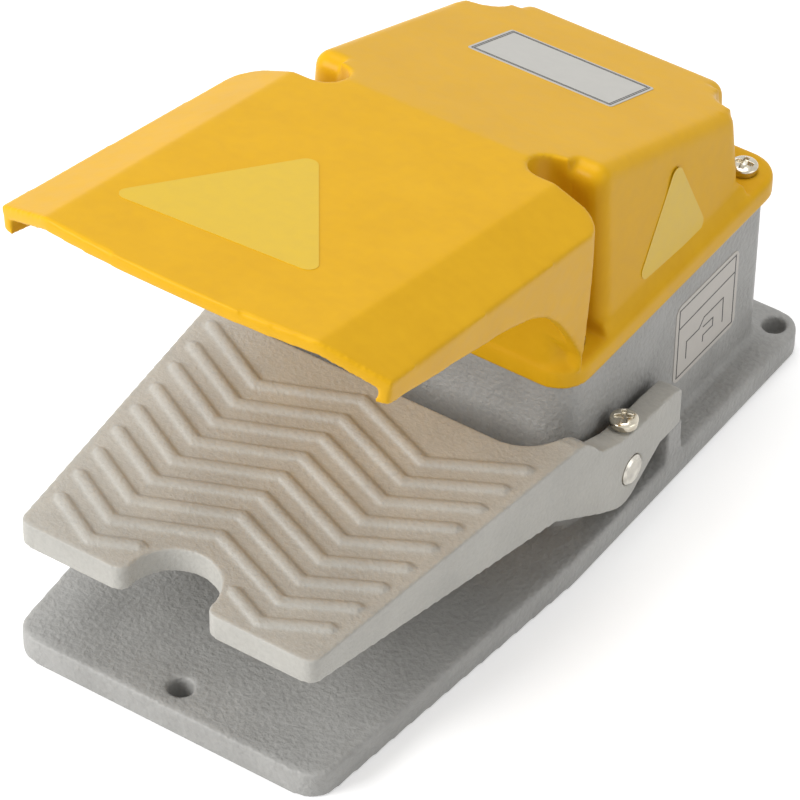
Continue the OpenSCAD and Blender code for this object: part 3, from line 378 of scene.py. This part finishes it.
def roundedOutline(corners, radius, steps=8):
    # each corner gives way to an arc that touches both of its sides
    pts, n = [], len(corners)
    c = np.array(corners, float)
    for i in range(n):
        a, b = c[i - 1] - c[i], c[(i + 1) % n] - c[i]
        a, b = a / np.linalg.norm(a), b / np.linalg.norm(b)
        half = math.acos(np.clip(a @ b, -1, 1)) / 2
        mid = (a + b) / np.linalg.norm(a + b)
        centre = c[i] + mid * radius / math.sin(half)
        start, end = c[i] + a * radius / math.tan(half) - centre, c[i] + b * radius / math.tan(half) - centre
        for t in np.linspace(0, 1, steps):
            v = start * (1 - t) + end * t
            pts.append(centre + v / np.linalg.norm(v) * radius)
    return np.array(pts)


def film(name, key, material, thick=0.12):
    # a closed sheet: rings of points shrink from the rounded outline to its centre
    label = labels[key]
    ring = roundedOutline(label["corners"], label["radius"])
    rings = [ring.mean(0) + (ring - ring.mean(0)) * k for k in (1, 0.75, 0.5, 0.25, 0)]
    top = [laidOn(r, label, label["lift"]) for r in rings]
    under = [laidOn(r, label, label["lift"] - thick - 0.1) for r in (rings[-1], ring)]
    obj = joinedObject(name, [gridMesh(name, np.array(under + top))], False)
    obj.data.materials.append(material)
    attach(obj, "base")
    return obj


def inkLines(name, key, lines, widthMm, material):
    # every line is a narrow strip printed on the label
    label, meshes = labels[key], []
    for a, b in lines:
        a, b = np.array(a, float), np.array(b, float)
        along = (b - a) / np.linalg.norm(b - a) * widthMm / 2
        side = np.array([-along[1], along[0]])
        flat = [a - along + side, a - along - side, b + along + side, b + along - side]
        strip = np.concatenate([laidOn(flat, label, label["lift"] + 0.05), laidOn(flat, label, label["lift"] - 0.03)])
        m = bpy.data.meshes.new(name)
        m.from_pydata(strip.tolist(), [], [(0, 1, 3, 2), (0, 4, 5, 1), (1, 5, 7, 3), (3, 7, 6, 2), (2, 6, 4, 0), (4, 6, 7, 5)])
        meshes.append(m)
    obj = joinedObject(name, meshes, False)
    obj.data.materials.append(material)
    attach(obj, "base")
    return obj


filmYellow = mouldedPart("plainYellowVinylFilm", "#D2AD16", "#D5B01A", 0.34, 3.0, 0)  # even, slightly glossy vinyl
plateFoil = mouldedPart("satinSilverPolyesterLabel", "#B4B2AC", "#B9B7B1", 0.4, 3.0, 0)  # dull silver film
labelWhite = mouldedPart("greyishPaperLabel", "#BAB5AE", "#BFBAB3", 0.5, 3.0, 0)  # matt varnished paper
labelInk = mouldedPart("printedDarkInk", "#2A2928", "#33322F", 0.45, 0.6, 0)  # thin dark print

def strokes(*points):
    return list(zip(points[:-1], points[1:]))


def frameLines(x0, y0, x1, y1):
    return strokes((x0, y0), (x1, y0), (x1, y1), (x0, y1), (x0, y0))


film("hood_film", "hood", filmYellow)
film("side_film", "side", filmYellow)
film("roof_plate", "plate", plateFoil)
inkLines("roof_plate_frame", "plate", frameLines(-19.5, 53.5, 20, 72.2) + frameLines(-19, 54, 19.5, 71.7), 0.22, labelInk)
film("contact_label", "contacts", labelWhite)
diagram = frameLines(51.4, 19.9, 77.7, 41.5) + strokes((51.4, 35.6), (77.7, 36.2)) + strokes((55.5, 23.8), (55.5, 29.1), (61.3, 29.1), (63.5, 31.4))
diagram += strokes((63.5, 31.4), (72.6, 31.4), (72.8, 23.6)) + strokes((63.4, 28.4), (68.0, 28.2), (68.0, 25.6), (63.5, 25.6), (63.4, 23.7))
inkLines("contact_lines", "contacts", diagram, 0.34, labelInk)
print("foot switch: labels made")


# ---------- camera, light and floor ----------

view = {"place": (0.4744, -0.7200, 0.7881), "right": (0.82735, 0.56155, 0.01219), "up": (-0.37902, 0.54215, 0.74995), "back": (0.41452, -0.62509, 0.66138), "lens": 214.0}
camera = bpy.data.objects.new("viewCamera", bpy.data.cameras.new("viewCamera"))
bpy.context.scene.collection.objects.link(camera)
turn = Matrix([view["right"], view["up"], view["back"]]).transposed().to_4x4()
camera.matrix_world = Matrix.Translation(view["place"]) @ turn
camera.data.lens, camera.data.sensor_width = view["lens"], 36
camera.data.clip_start, camera.data.clip_end = 0.05, 20
bpy.context.scene.camera = camera

def seenRay(mat):  # 1 for the rays that show a surface to the eye, straight or in a shine
    rays = addNode(mat, "ShaderNodeLightPath").outputs
    straight = addNode(mat, "ShaderNodeMath", {"operation": "MAXIMUM"}, {0: rays["Is Camera Ray"], 1: rays["Is Transmission Ray"]})
    return addNode(mat, "ShaderNodeMath", {"operation": "MAXIMUM"}, {0: straight.outputs[0], 1: rays["Is Glossy Ray"]}).outputs[0]


floorMesh = bpy.data.meshes.new("floor")
floorMesh.from_pydata([(-3, -3, 0), (3, -3, 0), (3, 3, 0), (-3, 3, 0)], [], [(0, 1, 2, 3)])
floor = bpy.data.objects.new("floor", floorMesh)
bpy.context.scene.collection.objects.link(floor)
floorMat = bpy.data.materials.new("paleFloor")
floorMat.use_nodes = True
floorMat.node_tree.nodes.clear()
matt = addNode(floorMat, "ShaderNodeBsdfDiffuse", inputs={"Color": (0.82, 0.82, 0.82, 1)})
glow = addNode(floorMat, "ShaderNodeEmission", inputs={"Color": (1, 1, 1, 1), "Strength": 0.38})
lit = addNode(floorMat, "ShaderNodeAddShader", inputs={0: matt.outputs[0], 1: glow.outputs[0]})
both = addNode(floorMat, "ShaderNodeMixShader", inputs={"Fac": seenRay(floorMat), 1: matt.outputs[0], 2: lit.outputs[0]})
addNode(floorMat, "ShaderNodeOutputMaterial", inputs={"Surface": both.outputs[0]})
floorMesh.materials.append(floorMat)

world = bpy.data.worlds.new("studio")
bpy.context.scene.world = world
world.use_nodes = True
world.node_tree.nodes["Background"].inputs["Color"].default_value = (1, 1, 1, 1)
sky = mapped(world, seenRay(world), 0, 1, 0.44, 1.0)  # lights the piece softly, shows as white
world.node_tree.links.new(sky, world.node_tree.nodes["Background"].inputs["Strength"])

lamps = {
    "frontLeftBox": {"at": (-0.9, -1.3, 0.9), "size": 0.9, "watts": 29},
    "topBox": {"at": (-0.3, 0.3, 1.6), "size": 1.0, "watts": 12},
    "rightFill": {"at": (1.5, 0.2, 0.7), "size": 1.0, "watts": 5},
}
for name, l in lamps.items():
    data = bpy.data.lights.new(name, "AREA")
    data.shape, data.size, data.energy = "SQUARE", l["size"], l["watts"]
    lamp = bpy.data.objects.new(name, data)
    lamp.location = l["at"]
    lamp.rotation_mode = "QUATERNION"
    lamp.rotation_quaternion = (Vector((0, 0, 0.05)) - Vector(l["at"])).to_track_quat("-Z", "Y")
    bpy.context.scene.collection.objects.link(lamp)

bpy.context.scene.view_settings.view_transform = "Standard"
print("foot switch: scene ready")
